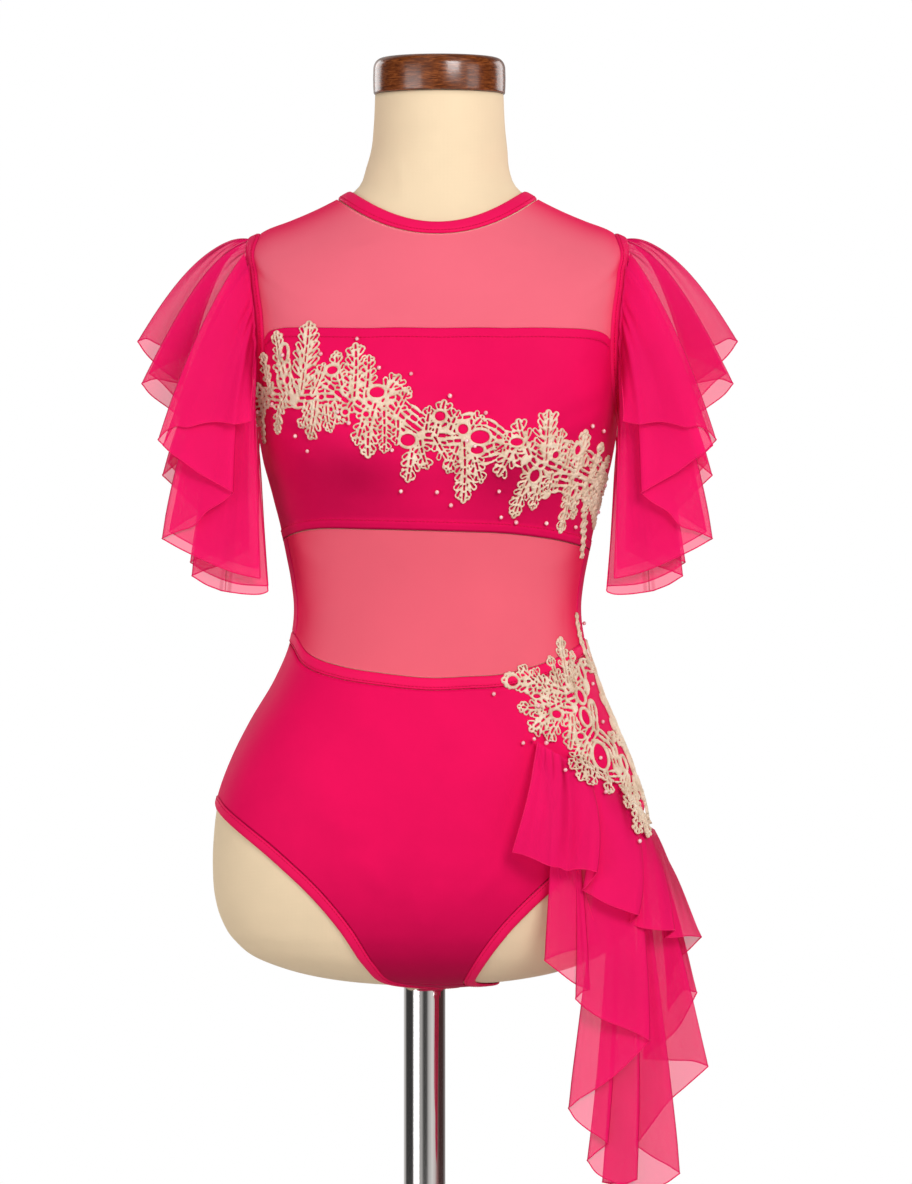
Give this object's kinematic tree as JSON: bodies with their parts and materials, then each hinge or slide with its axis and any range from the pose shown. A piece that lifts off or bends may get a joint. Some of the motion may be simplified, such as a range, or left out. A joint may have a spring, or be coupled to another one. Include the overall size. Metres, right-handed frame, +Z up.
{
  "type": "lyrical dance bodysuit on dress form",
  "caption": "Sheer-yoked dance bodysuit with ruffled cap sleeves, diagonal lace and a two-tier hip drape, worn on a limbless dress form with a round stand.",
  "frame": {"origin": "centre of the underside of the stand's round base, on the pole's axis", "axes": "+Z up along the pole, -Y towards the costume's front, +X towards its draped hip (on the right of a viewer who faces the front)"},
  "size_m": [0.4948, 0.34, 1.2698],
  "materials": {
    "jersey": "matt nylon-elastane jersey with a soft sheen",
    "mesh": "sheer stretch mesh over the form",
    "chiffon": "thin, crisp, half see-through chiffon",
    "guipure": "corded lace with beads",
    "cover": "matt jersey cover",
    "walnut": "glossy varnish",
    "chrome": "mirror"
  },
  "bodies": {
    "root": {"form_torso": "cover", "neck_cap": "walnut", "pole": "chrome", "pole_collar": "chrome", "base": "chrome", "front_yoke": "mesh", "back_yoke": "mesh", "bust_band": "jersey", "back_bodice": "jersey", "midriff_mesh": "mesh", "side_strip_L": "jersey", "side_strip_R": "jersey", "neck_binding": "jersey", "armhole_band_L": "jersey", "armhole_band_R": "jersey", "waist_binding": "jersey", "leg_binding_L": "jersey", "leg_binding_R": "jersey", "brief_front": "jersey", "brief_back": "jersey", "gusset": "jersey", "sleeve_front_L": "chiffon", "sleeve_main_L": "chiffon", "sleeve_back_L": "chiffon", "sleeve_front_R": "chiffon", "sleeve_main_R": "chiffon", "sleeve_back_R": "chiffon", "hip_drape_upper": "chiffon", "hip_drape_lower": "chiffon", "bust_lace": "guipure", "hip_lace": "guipure"}
  },
  "joints": []
}
